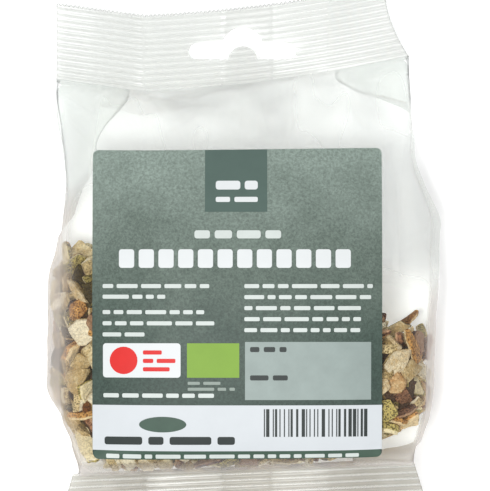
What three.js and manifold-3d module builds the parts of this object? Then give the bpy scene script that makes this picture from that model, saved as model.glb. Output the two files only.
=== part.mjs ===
// A heat-sealed clear film pack of dried orange peel, lying on its back with the
// label up. Millimetres, +Z up: +X across the pack, +Y towards the seal that hangs.
import * as THREE from "three";
import { mergeVertices } from "three/addons/utils/BufferGeometryUtils.js";
import Module from "manifold-3d";

const wasm = await Module();
wasm.setup();

// ---- Driving dimensions ----------------------------------------------------

const PANEL_LEFT = -53.2; // the front panel's left crease, in the filled part
const PANEL_RIGHT = 55.2; // and its right crease
const PANEL_RIGHT_MOST = 57.3; // where the film pulls that crease out furthest
const TOP_SEAL_LEFT = -54.9; // the hanging seal's side edges, at its root
const TOP_SEAL_RIGHT = 50.7;
const TOP_SEAL_SLANT = 7.4; // how far its right edge runs in towards the free edge
const BOTTOM_SEAL_LEFT = -49.8;
const BOTTOM_SEAL_RIGHT = 51.8;
const BOTTOM_SEAL_FLARE = 0.31; // widening of each side for each mm out
const SEAL_THICKNESS = 1.0; // both seals, ridges left out
const SEAL_ROOT_TOP = 51; // where the hanging seal starts
const SEAL_ROOT_BOTTOM = -64; // where the bottom seal starts
const TOP_SEAL_HEIGHT = 22.8;
const BOTTOM_SEAL_HEIGHT = 12.1;
const RIDGE_PITCH = 1.86; // the seal jaws' crimp
const RIDGE_HEIGHT = 0.3; // above and below the seal's middle
const TOP_SEAL_Z = 17; // height of each seal's root over the table
const BOTTOM_SEAL_Z = 20;

const HANG_HOLE_WIDTH = 32; // the usual euro slot
const HANG_HOLE_WING = 5; // height of its two wings
const HANG_HOLE_HEIGHT = 9.4; // up to the crown's top
const HANG_HOLE_CROWN = 6.2; // the crown's radius
const HANG_HOLE_X = 0.9; // its middle
const HANG_HOLE_Y = 57.4; // its straight lower edge
const GUSSET_FOLD_X = -28.5; // where the left gusset's layers end inside the seals

const LABEL_WIDTH = 85.8;
const LABEL_X = -0.7; // its middle
const LABEL_TOP = 30; // its upper edge
const LABEL_BOTTOM = -61.5; // its lower edge, seen from above
const LABEL_CORNER = 1.6; // corner radius
const LABEL_THICKNESS = 0.5;
const LABEL_GAP = 0.3; // between it and the film

// The pack's side view: where the middle of the front and of the back panel run,
// as [y, z], from the bottom seal's root to the top seal's. The two lists pair up.
const HALF_SEAL = SEAL_THICKNESS / 2;
const FRONT_LINE = [
  [SEAL_ROOT_BOTTOM, BOTTOM_SEAL_Z + HALF_SEAL],
  [-65, 28],
  [-65, 37],
  [-62, 44],
  [-56, 47.5],
  [-38, 49.5],
  [-15, 49],
  [6, 44.5],
  [24, 37],
  [38, 28.5],
  [47, 21.5],
  [SEAL_ROOT_TOP, TOP_SEAL_Z + HALF_SEAL],
];
const BACK_LINE = [
  [SEAL_ROOT_BOTTOM, BOTTOM_SEAL_Z - HALF_SEAL],
  [-65, 13],
  [-64, 6],
  [-60, 1.5],
  [-54, 0],
  [-38, 0],
  [-15, 0],
  [6, 0],
  [24, 1.5],
  [38, 6.5],
  [47, 12.5],
  [SEAL_ROOT_TOP, TOP_SEAL_Z - HALF_SEAL],
];

// Values along the pack as [y, value], joined by smooth steps.
const CREASE_LEFT = [
  [-64, -48],
  [-58, -50],
  [-50, -52.9],
  [-42, PANEL_LEFT],
  [0, PANEL_LEFT],
  [21, -51.2],
  [47, TOP_SEAL_LEFT],
];
const CREASE_RIGHT = [
  [-64, BOTTOM_SEAL_RIGHT],
  [-46, PANEL_RIGHT],
  [8, PANEL_RIGHT_MOST],
  [30, 51.6],
  [47, TOP_SEAL_RIGHT],
];
// How far the side gusset's middle fold stands out past the creases. Below zero it
// is tucked in between the panels, as it is where it meets a seal.
const GUSSET_LEFT = [
  [-63, -18],
  [-54, -1],
  [-41, 4.3],
  [-8, 4],
  [3, 1.2],
  [12, -3],
  [30, -10],
  [50, -22],
];
const GUSSET_RIGHT = [
  [-63, -18],
  [-58, 1.5],
  [-50, 2],
  [-40, 2.8],
  [0, 3],
  [8, 3.4],
  [18, 2.1],
  [30, 1.5],
  [38, 0.2],
  [50, -22],
];
// How far the panels' creases lie from the panels' middle, as a share of half the depth.
const FRONT_CROWN = [
  [-64, 0],
  [-58, 0.16],
  [-30, 0.3],
  [10, 0.36],
  [40, 0.3],
  [51, 0],
];
const BACK_CROWN = [
  [-64, 0],
  [-56, 0.1],
  [-20, 0.16],
  [25, 0.24],
  [51, 0],
];

const PANEL_STEPS = 16; // facets across each panel
const GUSSET_STEPS = 6; // facets across each gusset
const BODY_STEPS = 46; // rings along the body
const FLAT_SHARE = 0.5; // the middle of the back panel that lies flat on the table
const EDGE_ROUND = 0.03; // a seal's side edges bow out by this share
const LABEL_STEPS_X = 16;
const LABEL_STEPS_Y = 24;

// ---- Small helpers ---------------------------------------------------------

const smooth = (t) => t * t * (3 - 2 * t);

/** The value at y of a list of [y, value], flat beyond both ends. */
function along(list, y) {
  if (y <= list[0][0]) return list[0][1];
  for (let i = 1; i < list.length; i++) {
    const [y0, v0] = list[i - 1];
    const [y1, v1] = list[i];
    if (y <= y1) return v0 + (v1 - v0) * smooth((y - y0) / (y1 - y0));
  }
  return list[list.length - 1][1];
}

const bell = (x, middle, width) => Math.exp(-(((x - middle) / width) ** 2));

const line = (points) =>
  new THREE.SplineCurve(points.map(([y, z]) => new THREE.Vector2(y, z)));

const frontLine = line(FRONT_LINE);
const backLine = line(BACK_LINE);

// ---- The film bag ----------------------------------------------------------

/** How far the seals' own lines wander along Y, across the pack. */
function topSkew(x) {
  const off = x - GUSSET_FOLD_X;
  return off < 0 ? -3.4 - 0.136 * off : -3.4 + 0.05 * off + 0.00105 * off * off;
}

const bottomSkew = (x) => -0.4 + 0.045 * x;

/** The hanging seal's waves: a fold where the left gusset's layers end, a lifted corner. */
function topSealWave(x, out) {
  const fold = 2.6 * bell(x, GUSSET_FOLD_X, 10) - 1.6 * bell(x, 8, 20);
  return fold + 0.007 * Math.max(0, x - 10) * out - 0.05 * out;
}

const bottomSealWave = (x, out) => 1.2 * Math.sin(x / 17) + 0.1 * out;

/** Ridges of the crimp, at a distance from the seal's root. */
const ridge = (half) => (half % 2 ? RIDGE_HEIGHT : -RIDGE_HEIGHT);

/** A ring of the loft from its parts: front, right gusset, back, left gusset. */
function joinRing(frontPoint, backPoint, sidePoint) {
  const ring = [];
  for (let i = 0; i <= PANEL_STEPS; i++) ring.push(frontPoint(2 * (i / PANEL_STEPS) - 1));
  for (let i = 1; i < GUSSET_STEPS; i++) ring.push(sidePoint(1, i / GUSSET_STEPS));
  for (let i = 0; i <= PANEL_STEPS; i++) ring.push(backPoint(1 - 2 * (i / PANEL_STEPS)));
  for (let i = 1; i < GUSSET_STEPS; i++) ring.push(sidePoint(-1, 1 - i / GUSSET_STEPS));
  return ring;
}

/** One ring across a seal, `out` mm past its root. */
function sealRing(out, half, seal) {
  const left = seal.left(out);
  const right = seal.right(out);
  const at = (t, dz) => {
    const x = left + ((right - left) * (t + 1)) / 2;
    const y = seal.root + seal.way * out + seal.skew(x);
    return new THREE.Vector3(x, y, seal.z + seal.wave(x, out) + ridge(half) + dz);
  };
  return joinRing(
    (t) => at(t, HALF_SEAL),
    (t) => at(t, -HALF_SEAL),
    (side, share) => {
      const bow = EDGE_ROUND * share * (1 - share);
      return at(side * (1 + bow), HALF_SEAL - SEAL_THICKNESS * share);
    },
  );
}

const TOP_SEAL = {
  root: SEAL_ROOT_TOP,
  way: 1,
  z: TOP_SEAL_Z,
  skew: topSkew,
  wave: topSealWave,
  left: () => TOP_SEAL_LEFT,
  right: (out) => TOP_SEAL_RIGHT - TOP_SEAL_SLANT * (1 - (1 - out / TOP_SEAL_HEIGHT) ** 1.8),
};
const BOTTOM_SEAL = {
  root: SEAL_ROOT_BOTTOM,
  way: -1,
  z: BOTTOM_SEAL_Z,
  skew: bottomSkew,
  wave: bottomSealWave,
  left: (out) => BOTTOM_SEAL_LEFT - BOTTOM_SEAL_FLARE * out,
  right: (out) => BOTTOM_SEAL_RIGHT + BOTTOM_SEAL_FLARE * out,
};

/** A point of the body: the share k runs along the pack, (x, w) lie in the ring's plane. */
function bodyPoint(k, x, w) {
  const front = frontLine.getPoint(k);
  const back = backLine.getPoint(k);
  const y = (front.x + back.x) / 2 + (w * (front.x - back.x)) / 2;
  const z = (front.y + back.y) / 2 + (w * (front.y - back.y)) / 2;
  const toTop = smooth(THREE.MathUtils.clamp((k - 0.55) / 0.45, 0, 1)) ** 3;
  const toBottom = smooth(THREE.MathUtils.clamp((0.4 - k) / 0.4, 0, 1));
  const wave = toTop * topSealWave(x, 0) + toBottom ** 3 * bottomSealWave(x, 0);
  const skew = toTop * topSkew(x) + toBottom * bottomSkew(x);
  return new THREE.Vector3(x, y + skew, Math.max(0, z + wave));
}

/** Height in the ring of a panel's point, t running from -1 to 1 across it. */
const frontHeight = (y, t) => 1 - 2 * along(FRONT_CROWN, y) * Math.abs(t) ** 3.2;
const pastFlat = (t) => Math.max(0, Math.abs(t) - FLAT_SHARE) / (1 - FLAT_SHARE);
const backHeight = (y, t) => -1 + 2 * along(BACK_CROWN, y) * pastFlat(t) ** 2.2;

function bodyRing(k) {
  const y = frontLine.getPoint(k).x;
  const left = along(CREASE_LEFT, y);
  const right = along(CREASE_RIGHT, y);
  const across = (t) => left + ((right - left) * (t + 1)) / 2;
  return joinRing(
    (t) => bodyPoint(k, across(t), frontHeight(y, t)),
    (t) => bodyPoint(k, across(t), backHeight(y, t)),
    (side, share) => {
      const crease = side > 0 ? right : left;
      const reach = along(side > 0 ? GUSSET_RIGHT : GUSSET_LEFT, y);
      const top = frontHeight(y, side);
      const bottom = backHeight(y, side);
      const w = top + (bottom - top) * share;
      const off = Math.abs(2 * share - 1);
      const bow = reach > 0 ? 1 - off * off : 1 - off;
      return bodyPoint(k, crease + side * reach * bow, w);
    },
  );
}

/** Triangles over a ring's inside: a fan on each gusset, a strip between the panels. */
function capOf(first, facesForward) {
  const rightFan = first + PANEL_STEPS;
  const backStart = rightFan + GUSSET_STEPS;
  const backEnd = backStart + PANEL_STEPS;
  const index = [];
  const face = (a, b, c) => index.push(a, ...(facesForward ? [b, c] : [c, b]));
  for (let j = 1; j < GUSSET_STEPS; j++) face(rightFan, rightFan + j, rightFan + j + 1);
  for (let i = 0; i < PANEL_STEPS; i++) {
    face(first + i, first + i + 1, backEnd - i - 1);
    face(first + i, backEnd - i - 1, backEnd - i);
  }
  for (let j = 0; j + 1 < GUSSET_STEPS; j++) face(first, backEnd + j, backEnd + j + 1);
  return index;
}

/** A closed surface through rings of equal length, capped at both ends. */
function loft(rings) {
  const n = rings[0].length;
  const index = [];
  rings.slice(1).forEach((_, r) => {
    for (let i = 0; i < n; i++) {
      const a = r * n + i;
      const b = r * n + ((i + 1) % n);
      index.push(a, b, a + n, b, b + n, a + n);
    }
  });
  index.push(...capOf(0, false), ...capOf((rings.length - 1) * n, true));
  const positions = rings.flat().flatMap((p) => [p.x, p.y, p.z]);
  const geometry = new THREE.BufferGeometry();
  geometry.setAttribute("position", new THREE.Float32BufferAttribute(positions, 3));
  geometry.setIndex(index);
  return geometry;
}

/** The euro slot's outline: a straight lower edge, two round-ended wings and a crown. */
function hangHoleShape() {
  const half = HANG_HOLE_WIDTH / 2;
  const end = HANG_HOLE_WING / 2;
  const crownMiddle = HANG_HOLE_HEIGHT - HANG_HOLE_CROWN;
  const shoulder = Math.asin((HANG_HOLE_WING - crownMiddle) / HANG_HOLE_CROWN);
  const shape = new THREE.Shape();
  shape.moveTo(-half + end, 0);
  shape.lineTo(half - end, 0);
  shape.absarc(half - end, end, end, -Math.PI / 2, Math.PI / 2);
  shape.absarc(0, crownMiddle, HANG_HOLE_CROWN, shoulder, Math.PI - shoulder);
  shape.lineTo(-half + end, HANG_HOLE_WING);
  shape.absarc(-half + end, end, end, Math.PI / 2, (3 * Math.PI) / 2);
  return shape;
}

function solidOf(geometry) {
  const bare = geometry.index ? geometry.clone() : geometry;
  bare.deleteAttribute("normal");
  bare.deleteAttribute("uv");
  const merged = mergeVertices(bare, 1e-4);
  return new wasm.Manifold(
    new wasm.Mesh({
      numProp: 3,
      vertProperties: merged.attributes.position.array,
      triVerts: new Uint32Array(merged.index.array),
    }),
  );
}

function geometryOf(solid) {
  const mesh = solid.getMesh();
  const geometry = new THREE.BufferGeometry();
  geometry.setAttribute("position", new THREE.BufferAttribute(mesh.vertProperties, 3));
  geometry.setIndex(new THREE.BufferAttribute(mesh.triVerts, 1));
  return geometry;
}

/** Rings of one seal, a half pitch of its crimp apart, from its free edge to its root. */
function sealRings(seal, height) {
  const halves = Math.round(height / (RIDGE_PITCH / 2));
  const out = (i) => (height * (halves - i)) / halves;
  return Array.from({ length: halves }, (_, i) => sealRing(out(i), i, seal));
}

function makeBag() {
  const rings = [
    ...sealRings(BOTTOM_SEAL, BOTTOM_SEAL_HEIGHT),
    ...Array.from({ length: BODY_STEPS + 1 }, (_, i) => bodyRing(i / BODY_STEPS)),
    ...sealRings(TOP_SEAL, TOP_SEAL_HEIGHT).reverse(),
  ];
  const punch = new THREE.ExtrudeGeometry(hangHoleShape(), {
    depth: 60,
    bevelEnabled: false,
    curveSegments: 6,
  });
  punch.translate(HANG_HOLE_X, HANG_HOLE_Y, -10);
  return geometryOf(solidOf(loft(rings)).subtract(solidOf(punch)));
}

// ---- The label -------------------------------------------------------------

/** The share along the pack at which the front panel's middle line passes y. */
function shareAt(y) {
  let low = 0.15;
  let high = 1;
  for (let i = 0; i < 40; i++) {
    const middle = (low + high) / 2;
    if (frontLine.getPoint(middle).x < y) low = middle;
    else high = middle;
  }
  return (low + high) / 2;
}

/** A point over the front panel, `lift` mm off it. */
function overFront(x, y, lift) {
  const at = (px, py) => {
    const k = shareAt(py);
    const left = along(CREASE_LEFT, py);
    const right = along(CREASE_RIGHT, py);
    const t = (2 * (px - left)) / (right - left) - 1;
    return bodyPoint(k, px, frontHeight(py, t));
  };
  const step = 0.5;
  const here = at(x, y);
  const sideways = at(x + step, y).sub(at(x - step, y));
  const upwards = at(x, y + step).sub(at(x, y - step));
  return here.add(sideways.cross(upwards).normalize().multiplyScalar(lift));
}

/** Even steps over a side, with one more at each corner's radius. */
function gridLines(low, high, steps) {
  const inner = Array.from(
    { length: steps + 1 },
    (_, i) => low + LABEL_CORNER + ((high - low - 2 * LABEL_CORNER) * i) / steps,
  );
  return [low, ...inner, high];
}

/** One skin of the label, its four corner points drawn in to the corner's arc. */
function labelSkin(lift) {
  const xs = gridLines(LABEL_X - LABEL_WIDTH / 2, LABEL_X + LABEL_WIDTH / 2, LABEL_STEPS_X);
  const ys = gridLines(LABEL_BOTTOM, LABEL_TOP, LABEL_STEPS_Y);
  const drawnIn = LABEL_CORNER * (1 - Math.SQRT1_2);
  const inwards = (i, n) => (i === 0 ? drawnIn : i === n - 1 ? -drawnIn : 0);
  return ys.map((y, j) =>
    xs.map((x, i) => {
      const corner = inwards(i, xs.length) && inwards(j, ys.length);
      const dx = corner ? inwards(i, xs.length) : 0;
      const dy = corner ? inwards(j, ys.length) : 0;
      return overFront(x + dx, y + dy, lift);
    }),
  );
}

function makeLabel() {
  const under = labelSkin(LABEL_GAP);
  const over = labelSkin(LABEL_GAP + LABEL_THICKNESS);
  const rows = under.length;
  const columns = under[0].length;
  const id = (skin, j, i) => (skin * rows + j) * columns + i;
  const index = [];
  const quad = (a, b, c, d) => index.push(a, b, c, a, c, d);
  for (let j = 0; j + 1 < rows; j++) {
    for (let i = 0; i + 1 < columns; i++) {
      quad(id(1, j, i), id(1, j, i + 1), id(1, j + 1, i + 1), id(1, j + 1, i));
      quad(id(0, j, i), id(0, j + 1, i), id(0, j + 1, i + 1), id(0, j, i + 1));
    }
  }
  for (let i = 0; i + 1 < columns; i++) {
    quad(id(0, 0, i), id(0, 0, i + 1), id(1, 0, i + 1), id(1, 0, i));
    const last = rows - 1;
    quad(id(0, last, i + 1), id(0, last, i), id(1, last, i), id(1, last, i + 1));
  }
  for (let j = 0; j + 1 < rows; j++) {
    quad(id(0, j + 1, 0), id(0, j, 0), id(1, j, 0), id(1, j + 1, 0));
    const last = columns - 1;
    quad(id(0, j, last), id(0, j + 1, last), id(1, j + 1, last), id(1, j, last));
  }
  const positions = [...under, ...over].flat().flatMap((p) => [p.x, p.y, p.z]);
  const geometry = new THREE.BufferGeometry();
  geometry.setAttribute("position", new THREE.Float32BufferAttribute(positions, 3));
  geometry.setIndex(index);
  return geometry;
}

// ---- The pack --------------------------------------------------------------

const film = new THREE.MeshStandardMaterial({
  color: 0xe6e8e6,
  roughness: 0.15,
  metalness: 0,
  transparent: true,
  opacity: 0.35,
});
const paper = new THREE.MeshStandardMaterial({ color: 0x66796f, roughness: 0.7, metalness: 0 });

const named = (name, geometry, material) => {
  const mesh = new THREE.Mesh(geometry, material);
  mesh.name = name;
  return mesh;
};

const pack = new THREE.Group();
pack.add(named("bag", makeBag(), film));
pack.add(named("label", makeLabel(), paper));

// The origin is the middle of the pack's footprint on the table.
const bounds = new THREE.Box3().setFromObject(pack, true);
const middle = bounds.getCenter(new THREE.Vector3());
pack.position.set(-middle.x, -middle.y, -bounds.min.z);

export default pack;
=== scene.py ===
"""A sealed clear pack of cut dried orange peel, lying on its back with the label up."""

import random
from math import asin, cos, hypot, pi, prod, radians, sin

import bmesh
import bpy
import numpy as np
from mathutils import Matrix, Vector, kdtree, noise


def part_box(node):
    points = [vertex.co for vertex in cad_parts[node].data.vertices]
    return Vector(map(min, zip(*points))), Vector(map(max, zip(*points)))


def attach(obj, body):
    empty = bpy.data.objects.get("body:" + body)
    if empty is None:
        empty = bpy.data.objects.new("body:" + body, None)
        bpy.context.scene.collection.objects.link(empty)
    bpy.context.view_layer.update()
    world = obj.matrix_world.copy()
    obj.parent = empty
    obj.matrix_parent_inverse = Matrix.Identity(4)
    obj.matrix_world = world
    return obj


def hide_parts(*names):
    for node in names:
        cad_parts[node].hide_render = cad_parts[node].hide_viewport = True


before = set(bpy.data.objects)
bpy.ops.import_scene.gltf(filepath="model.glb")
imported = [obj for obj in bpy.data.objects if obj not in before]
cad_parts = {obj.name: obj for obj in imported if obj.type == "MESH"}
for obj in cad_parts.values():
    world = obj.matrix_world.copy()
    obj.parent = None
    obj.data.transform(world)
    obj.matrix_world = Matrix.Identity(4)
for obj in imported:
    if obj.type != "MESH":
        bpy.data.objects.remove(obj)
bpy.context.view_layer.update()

MM = 0.001  # every size below is in millimetres unless it says otherwise

# ---- The pack's plain form, the same as its solid's ----

PANEL_LEFT = -53.2  # the front panel's creases, in the filled part
PANEL_RIGHT = 55.2
PANEL_RIGHT_MOST = 57.3
TOP_SEAL_LEFT = -54.9
TOP_SEAL_RIGHT = 50.7
TOP_SEAL_SLANT = 7.4
TOP_SEAL_HEIGHT = 22.8
TOP_SEAL_Z = 17.0
SEAL_ROOT_TOP = 51.0
BOTTOM_SEAL_LEFT = -49.8
BOTTOM_SEAL_RIGHT = 51.8
BOTTOM_SEAL_FLARE = 0.31
BOTTOM_SEAL_HEIGHT = 12.1
BOTTOM_SEAL_Z = 20.0
SEAL_ROOT_BOTTOM = -64.0
HALF_SEAL = 0.5
FOLD_LEFT = -28.5  # where the left gusset's layers end inside the hanging seal
FOLD_RIGHT = 26.5
FLAT_SHARE = 0.5  # the middle of the back panel that lies flat
FRONT_CURVE = 3.2  # how late the front panel turns down towards its creases
BACK_CURVE = 2.2
TOP_PULL = 0.45  # the share of the body that follows the hanging seal's slant and wave
BOTTOM_PULL = 0.4

# The side view: the middle of the front and of the back panel as (y, z), from seal to seal.
FRONT_LINE = (
    (SEAL_ROOT_BOTTOM, BOTTOM_SEAL_Z + HALF_SEAL), (-65, 28), (-65, 37), (-62, 44), (-56, 47.5),
    (-38, 49.5), (-15, 49), (6, 44.5), (24, 37), (38, 28.5), (47, 21.5),
    (SEAL_ROOT_TOP, TOP_SEAL_Z + HALF_SEAL),
)
BACK_LINE = (
    (SEAL_ROOT_BOTTOM, BOTTOM_SEAL_Z - HALF_SEAL), (-65, 13), (-64, 6), (-60, 1.5), (-54, 0),
    (-38, 0), (-15, 0), (6, 0), (24, 1.5), (38, 6.5), (47, 12.5),
    (SEAL_ROOT_TOP, TOP_SEAL_Z - HALF_SEAL),
)

# Values along the pack as (y, value). A gusset below 0 is tucked in between the panels.
CREASE_LEFT = (
    (-64, -48), (-58, -50), (-50, -52.9), (-42, PANEL_LEFT), (0, PANEL_LEFT), (21, -51.2),
    (47, TOP_SEAL_LEFT),
)
CREASE_RIGHT = (
    (-64, BOTTOM_SEAL_RIGHT), (-46, PANEL_RIGHT), (8, PANEL_RIGHT_MOST), (30, 51.6),
    (47, TOP_SEAL_RIGHT),
)
GUSSET_LEFT = ((-63, -18), (-54, -1), (-41, 4.3), (-8, 4), (3, 1.2), (12, -3), (30, -10), (50, -22))
GUSSET_RIGHT = (
    (-63, -18), (-58, 1.5), (-50, 2), (-40, 2.8), (0, 3), (8, 3.4), (18, 2.1), (30, 1.5),
    (38, 0.2), (50, -22),
)
FRONT_CROWN = ((-64, 0), (-58, 0.16), (-30, 0.3), (10, 0.36), (40, 0.3), (51, 0))
BACK_CROWN = ((-64, 0), (-56, 0.1), (-20, 0.16), (25, 0.24), (51, 0))

LABEL_LEFT, LABEL_RIGHT = -43.6, 42.2
LABEL_TOP, LABEL_BOTTOM = 30.0, -61.5
LABEL_CORNER = 1.6

# Steps of the plain form: whole multiples of the solid's facets.
PLAIN_PANEL_STEPS = 48
PLAIN_GUSSET_STEPS = 12
PLAIN_BODY_STEPS = 184


def step_up(t):
    """A smooth step: 0 up to t = 0, and 1 from t = 1."""
    t = np.clip(t, 0, 1)
    return t * t * (3 - 2 * t)


def along(table, y):
    """The value at y of a list of (y, value), joined by smooth steps."""
    y = np.asarray(y, float)
    value = np.full(y.shape, float(table[0][1]))
    for (y0, v0), (y1, v1) in zip(table, table[1:]):
        value += (v1 - v0) * step_up((y - y0) / (y1 - y0))
    return value


def spline(points, k):
    """A Catmull-Rom curve through the points, k running from 0 to 1."""
    p = np.array(points, float)
    s = np.clip(k, 0, 1) * (len(p) - 1)
    i = np.minimum(s.astype(int), len(p) - 2)
    f = (s - i)[..., None]
    p0, p1, p2, p3 = (p[np.clip(i + d, 0, len(p) - 1)] for d in (-1, 0, 1, 2))
    v0, v1 = (p2 - p0) / 2, (p3 - p1) / 2
    return (2 * p1 - 2 * p2 + v0 + v1) * f**3 + (3 * p2 - 3 * p1 - 2 * v0 - v1) * f**2 + v0 * f + p1


def bell(x, middle, width):
    return np.exp(-(((x - middle) / width) ** 2))


def top_skew(x):
    """How far the hanging seal's lines wander along the pack, across it."""
    off = x - FOLD_LEFT
    return np.where(off < 0, -3.4 - 0.136 * off, -3.4 + 0.05 * off + 0.00105 * off * off)


def bottom_skew(x):
    return -0.4 + 0.045 * x


def top_wave(x, out):
    """The hanging seal's height: a fold where the left gusset's layers end, and a lifted corner."""
    fold = 2.6 * bell(x, FOLD_LEFT, 10) - 1.6 * bell(x, 8, 20)
    return fold + 0.007 * np.maximum(0, x - 10) * out - 0.05 * out


def bottom_wave(x, out):
    return 1.2 * np.sin(x / 17) + 0.1 * out


def front_height(y, t):
    return 1 - 2 * along(FRONT_CROWN, y) * np.abs(t) ** FRONT_CURVE


def past_flat(t):
    return np.maximum(0, np.abs(t) - FLAT_SHARE) / (1 - FLAT_SHARE)


def back_height(y, t):
    return -1 + 2 * along(BACK_CROWN, y) * past_flat(t) ** BACK_CURVE


def body_point(k, x, w):
    """A point of the filled body: k runs along the pack, x and w lie in the ring's plane."""
    front, back = spline(FRONT_LINE, k), spline(BACK_LINE, k)
    y, z = np.moveaxis((front + back + w[..., None] * (front - back)) / 2, -1, 0)
    to_top = step_up((k - 1 + TOP_PULL) / TOP_PULL) ** 3
    to_bottom = step_up((BOTTOM_PULL - k) / BOTTOM_PULL)
    wave = to_top * top_wave(x, 0) + to_bottom**3 * bottom_wave(x, 0)
    skew = to_top * top_skew(x) + to_bottom * bottom_skew(x)
    return np.stack([x + 0 * y, y + skew, np.maximum(0, z + wave)], -1)


def ring_columns(panel_steps, gusset_steps):
    """A ring's columns: panel 0 front, 1 right gusset, 2 back, 3 left gusset, and a place on it."""
    t = np.linspace(-1, 1, panel_steps + 1)
    s = np.arange(1, gusset_steps) / gusset_steps
    panel = np.repeat([0, 1, 2, 3], [len(t), len(s), len(t), len(s)])
    place = np.concatenate([t, s, -t, 1 - s])
    return panel, place


def body_rings(k, panel, place):
    """The body's points, one row for each k and one column for each place."""
    y = spline(FRONT_LINE, k)[:, 0][:, None]
    left, right = along(CREASE_LEFT, y), along(CREASE_RIGHT, y)
    t = np.choose(panel, (place, 1.0, place, -1.0))
    x = left + (right - left) * (t + 1) / 2
    reach = np.where(panel == 1, along(GUSSET_RIGHT, y), -along(GUSSET_LEFT, y))
    off = np.abs(2 * place - 1)
    bow = np.where(np.where(panel == 1, reach, -reach) > 0, 1 - off**2, 1 - off)
    gusset = (panel == 1) | (panel == 3)
    x = np.where(gusset, x + reach * bow, x)
    top, bottom = front_height(y, t), back_height(y, t)
    w = np.where(gusset, top + (bottom - top) * place, np.where(panel == 0, top, bottom))
    return body_point(np.broadcast_to(k[:, None], w.shape), x, w)


def seal_sides(seal, out):
    """The x of a seal's left and right edge, out millimetres past its root."""
    if seal == "top":
        slant = 1 - (1 - np.clip(out / TOP_SEAL_HEIGHT, 0, 1)) ** 1.8
        return TOP_SEAL_LEFT + 0 * out, TOP_SEAL_RIGHT - TOP_SEAL_SLANT * slant
    return BOTTOM_SEAL_LEFT - BOTTOM_SEAL_FLARE * out, BOTTOM_SEAL_RIGHT + BOTTOM_SEAL_FLARE * out


def seal_rings(seal, out, panel, place, half):
    """A seal's points, one row for each distance out from its root; half is its half thickness."""
    out = out[:, None]
    left, right = seal_sides(seal, out)
    t = np.choose(panel, (place, 1.0, place, -1.0))
    x = left + (right - left) * (t + 1) / 2
    share = np.choose(panel, (0.0, place, 1.0, place))
    if seal == "top":
        y = SEAL_ROOT_TOP + out + top_skew(x)
        z = TOP_SEAL_Z + top_wave(x, out)
    else:
        y = SEAL_ROOT_BOTTOM - out + bottom_skew(x)
        z = BOTTOM_SEAL_Z + bottom_wave(x, out)
    return np.stack([x, y, z + half * (1 - 2 * share)], -1)


def plain_centre():
    """The middle of the plain form's footprint, which the frame's origin lies under."""
    panel, place = ring_columns(PLAIN_PANEL_STEPS, PLAIN_GUSSET_STEPS)
    rows = [
        seal_rings("bottom", np.array([BOTTOM_SEAL_HEIGHT]), panel, place, HALF_SEAL),
        body_rings(np.linspace(0, 1, PLAIN_BODY_STEPS + 1), panel, place),
        seal_rings("top", np.array([TOP_SEAL_HEIGHT]), panel, place, HALF_SEAL),
    ]
    points = np.concatenate([r.reshape(-1, 3) for r in rows])
    return (points.min(0) + points.max(0)) / 2


BAG_LOW, BAG_HIGH = (np.array(corner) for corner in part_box("bag"))
SHIFT = (BAG_LOW + BAG_HIGH) / 2 / MM - plain_centre()
SHIFT[2] = 0


def to_frame(points):
    """From the form's own millimetres to the frame's metres."""
    return (np.asarray(points) + SHIFT) * MM


# ---- Helpers for materials ----


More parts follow.
